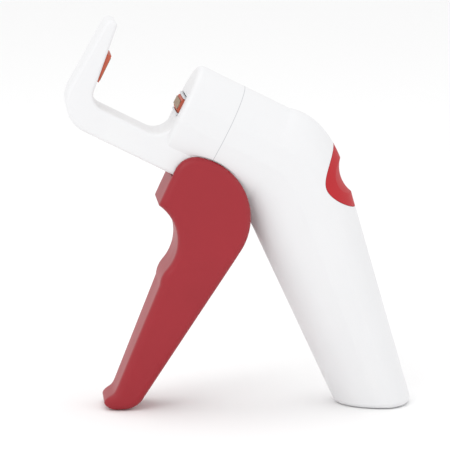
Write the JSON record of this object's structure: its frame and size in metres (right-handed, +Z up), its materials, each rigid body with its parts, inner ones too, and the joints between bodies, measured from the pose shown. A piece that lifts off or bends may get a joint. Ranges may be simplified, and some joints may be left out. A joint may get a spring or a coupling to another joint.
{
  "type": "handheld bag heat sealer",
  "caption": "Pistol-shaped hand sealer: a squeeze lever drives a heated ram across a C-shaped jaw to weld a bag closed.",
  "frame": {"origin": "on the surface the tool stands on, under the middle of its whole box", "axes": "+X from the jaw to the back of the handle, +Z up, Y = 0 is the plane of symmetry of the casing; +Y is the tool's right-hand side"},
  "size_m": [0.1414, 0.036, 0.1594],
  "materials": {
    "white_shell": "satin moulded ABS",
    "red_lever": "satin moulded ABS",
    "soft_red": "matt soft elastomer",
    "silicone": "matt silicone rubber",
    "ptfe": "coated glass cloth",
    "grey_nylon": "moulded nylon",
    "aluminium": "extruded, satin",
    "ribbon_alloy": "rolled nickel-chromium",
    "steel": "zinc plated",
    "nickel_strip": "nickel plated",
    "brass_strip": "stamped",
    "cell_sleeve": "printed sleeve, plain"
  },
  "bodies": {
    "casing": {"left_shell": "white_shell", "right_shell": "white_shell", "nose_frame": "white_shell", "thumb_pad": "soft_red", "anvil_pad": "silicone", "anvil_tape": "ptfe", "pivot_pin": "steel", "return_spring": "steel", "cell_ceiling": "grey_nylon", "left_ram_rail": "grey_nylon", "right_ram_rail": "grey_nylon", "left_cell": "cell_sleeve", "right_cell": "cell_sleeve", "left_cell_plate": "nickel_strip", "right_cell_plate": "nickel_strip", "left_contact_strip": "brass_strip", "right_contact_strip": "brass_strip", "shell_screws": "steel", "nose_screws": "steel"},
    "lever": {"squeeze_lever": "red_lever", "crank": "grey_nylon", "drive_pin": "steel"},
    "ram": {"ram_slide": "grey_nylon", "heating_shoe": "aluminium", "silicone_bed": "silicone", "heating_ribbon": "ribbon_alloy", "shoe_tape": "ptfe", "left_ram_contact": "brass_strip", "right_ram_contact": "brass_strip"},
    "lid": {"battery_lid": "white_shell", "lid_contact": "nickel_strip"}
  },
  "joints": [
    {"name": "lever_squeeze", "type": "hinge", "parent": "casing", "child": "lever", "pos_m": [-0.01505, 0, 0.08149], "axis": [0, -1, 0], "range_deg": [0, 53], "stiffness_Nm_per_rad": 0.12, "springref_deg": -20.05, "deforming": ["return_spring"]},
    {"name": "ram_travel", "type": "slide", "parent": "casing", "child": "ram", "axis": [-0.8949, 0, 0.4462], "range_m": [0, 0.0323]},
    {"name": "lid_removal", "type": "slide", "parent": "casing", "child": "lid", "axis": [0.3543, 0, -0.9351], "range_m": [0, 0.03]}
  ],
  "couplings": [
    {"joint": "ram_travel", "follows": "lever_squeeze", "m_per_rad": 0.0348}
  ]
}
